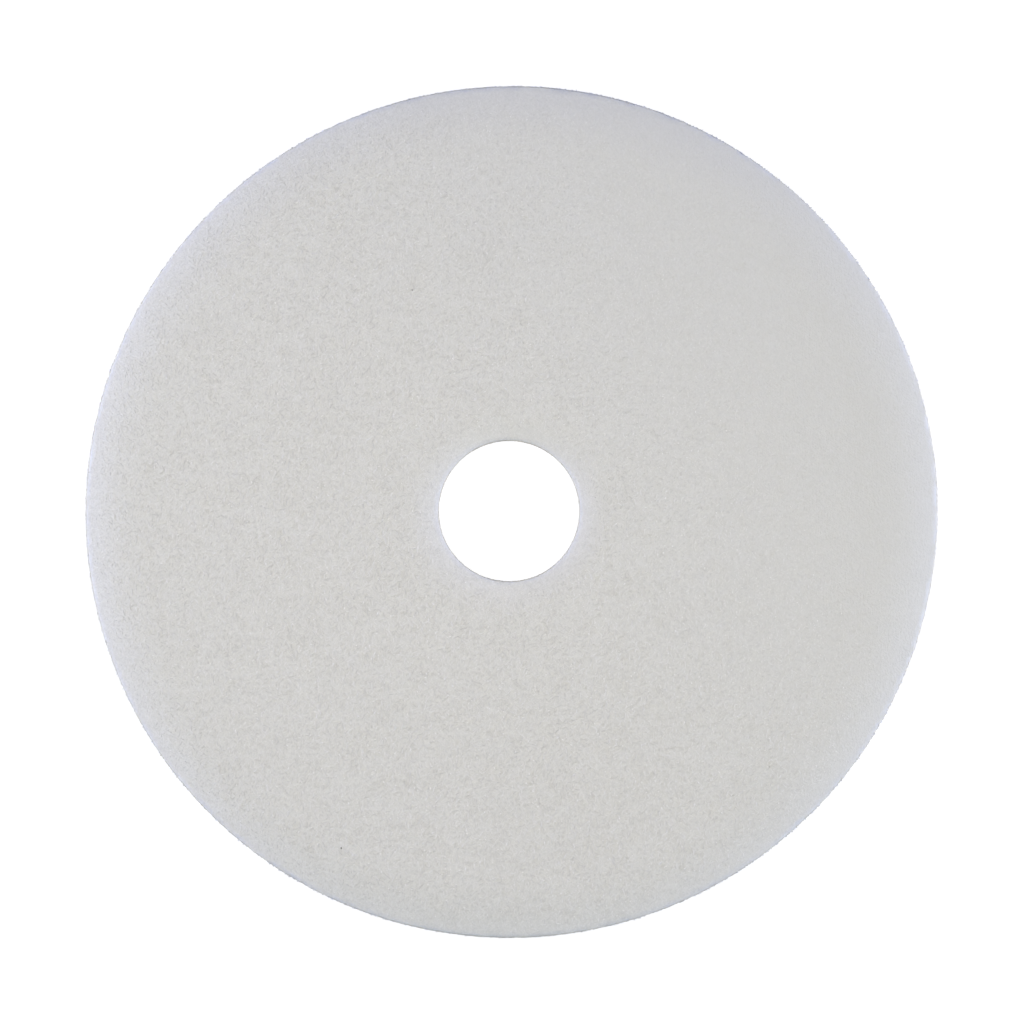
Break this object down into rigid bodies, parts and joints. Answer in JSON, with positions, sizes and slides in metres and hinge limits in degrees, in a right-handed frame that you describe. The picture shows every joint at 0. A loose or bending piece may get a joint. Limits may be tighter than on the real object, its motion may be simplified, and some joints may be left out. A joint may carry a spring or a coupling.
{
  "type": "floor polishing pad",
  "caption": "Round floor polishing pad of thick white nonwoven web, with crushed, softly rounded edges and a centre hole for a floor machine's pad driver.",
  "frame": {"origin": "middle of the pad's outline, on the flat working face it lies on", "axes": "+Z up through the thickness, from the working face to the face the driver grips; +Y is up in the picture and +X is right"},
  "size_m": [0.5082, 0.5078, 0.025],
  "materials": {
    "nonwoven_web": "matte white nonwoven of fine crimped fibres bonded with resin"
  },
  "bodies": {
    "root": {"polishing_pad": "nonwoven_web"}
  },
  "joints": []
}
